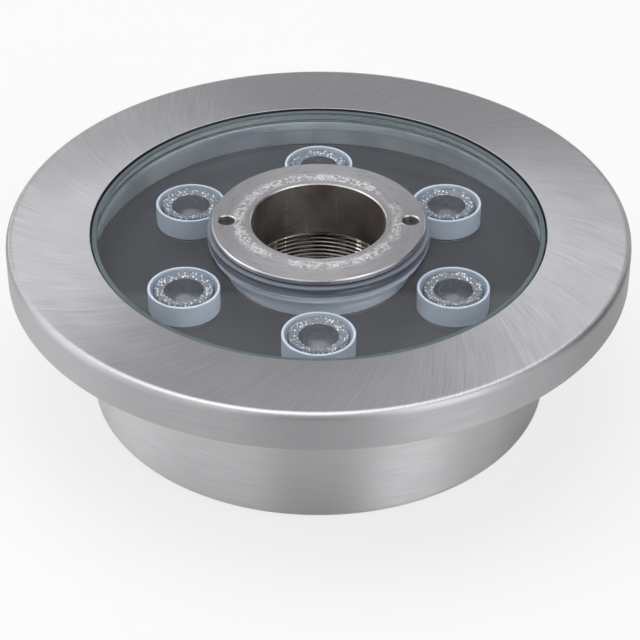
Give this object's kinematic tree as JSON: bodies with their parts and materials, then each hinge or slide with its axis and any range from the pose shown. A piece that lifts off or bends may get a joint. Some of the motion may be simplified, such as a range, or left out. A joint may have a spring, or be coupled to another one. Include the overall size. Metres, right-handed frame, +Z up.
{
  "type": "underwater pond light",
  "caption": "Round stainless underwater light with a wide face ring, a glass window over collimated lamps, and a threaded through bore for a fountain nozzle.",
  "frame": {"origin": "centre of the flat base that the lamp stands on, on the axis of the nozzle bore", "axes": "+Z up along the nozzle bore, out of the glass; +Y towards the cable gland"},
  "size_m": [0.19, 0.19, 0.0581],
  "materials": {
    "brushed_housing_steel": "circular and radial brushing, a few fine dings",
    "turned_steel": "turned, with fine circular tool marks",
    "gland_steel": "machined, plain",
    "tempered_glass": "clear, green at its edges",
    "silicone_gasket": "satin, slightly translucent grey-green",
    "black_rubber": "satin",
    "black_potting": "smooth cast resin with a soft gloss",
    "board_aluminium": "plain rolled sheet, white solder mask",
    "led_package": "phosphor under a clear dome",
    "clear_lens": "clear moulded, with a bead pattern on its face",
    "frosted_holder": "frosted translucent moulding",
    "brass_standoff": "plain machined",
    "circuit_board": "green solder mask",
    "capacitor_sleeve": "shrink sleeve",
    "copper_winding": "enamelled wire on ferrite",
    "black_plastic": "moulded",
    "terminal_plastic": "moulded",
    "red_wire": "insulated wire",
    "black_wire": "insulated wire"
  },
  "bodies": {
    "housing": {"housing_cup": "brushed_housing_steel", "mounting_flange": "brushed_housing_steel", "face_ring": "brushed_housing_steel", "seat_ring": "brushed_housing_steel", "centre_tube": "turned_steel", "glass_disc": "tempered_glass", "outer_gasket": "silicone_gasket", "inner_gasket": "silicone_gasket", "led_board": "board_aluminium", "potting_fill": "black_potting", "led_1": "led_package", "lens_1": "clear_lens", "lens_holder_1": "frosted_holder", "led_2": "led_package", "lens_2": "clear_lens", "lens_holder_2": "frosted_holder", "led_3": "led_package", "lens_3": "clear_lens", "lens_holder_3": "frosted_holder", "led_4": "led_package", "lens_4": "clear_lens", "lens_holder_4": "frosted_holder", "led_5": "led_package", "lens_5": "clear_lens", "lens_holder_5": "frosted_holder", "led_6": "led_package", "lens_6": "clear_lens", "lens_holder_6": "frosted_holder", "lower_standoff_1": "brass_standoff", "upper_standoff_1": "brass_standoff", "board_screw_1": "turned_steel", "lower_standoff_2": "brass_standoff", "upper_standoff_2": "brass_standoff", "board_screw_2": "turned_steel", "lower_standoff_3": "brass_standoff", "upper_standoff_3": "brass_standoff", "board_screw_3": "turned_steel", "driver_board": "circuit_board", "capacitor_1": "capacitor_sleeve", "capacitor_2": "capacitor_sleeve", "inductor": "copper_winding", "rectifier": "black_plastic", "driver_chip": "black_plastic", "terminal_block": "terminal_plastic", "lead_wire_red": "red_wire", "lead_wire_black": "black_wire", "gland_body": "gland_steel", "gland_lock_nut": "gland_steel", "gland_seal_ring": "black_rubber", "gland_bush": "black_rubber"},
    "clamp_slip": {"slip_washer": "black_rubber"},
    "clamp": {"clamp_ring": "turned_steel"},
    "gland_slip": {"gland_slip_ring": "black_plastic"},
    "gland_cap": {"gland_cap_nut": "gland_steel"}
  },
  "joints": [
    {"name": "clamp_lift", "type": "slide", "parent": "housing", "child": "clamp_slip", "axis": [0, 0, 1], "range_m": [0, 0.0083]},
    {"name": "clamp_turn", "type": "hinge", "parent": "clamp_slip", "child": "clamp", "pos_m": [0, 0, 0.0565], "axis": [0, 0, 1], "range_deg": [0, 1980]},
    {"name": "gland_cap_slide", "type": "slide", "parent": "housing", "child": "gland_slip", "axis": [0, 1, 0], "range_m": [0, 0.0076]},
    {"name": "gland_cap_turn", "type": "hinge", "parent": "gland_slip", "child": "gland_cap", "pos_m": [0, 0.09, 0.02], "axis": [0, 1, 0], "range_deg": [0, 1800]}
  ],
  "couplings": [
    {"joint": "clamp_lift", "follows": "clamp_turn", "m_per_rad": 0.00023873},
    {"joint": "gland_cap_slide", "follows": "gland_cap_turn", "m_per_rad": 0.00023873}
  ]
}
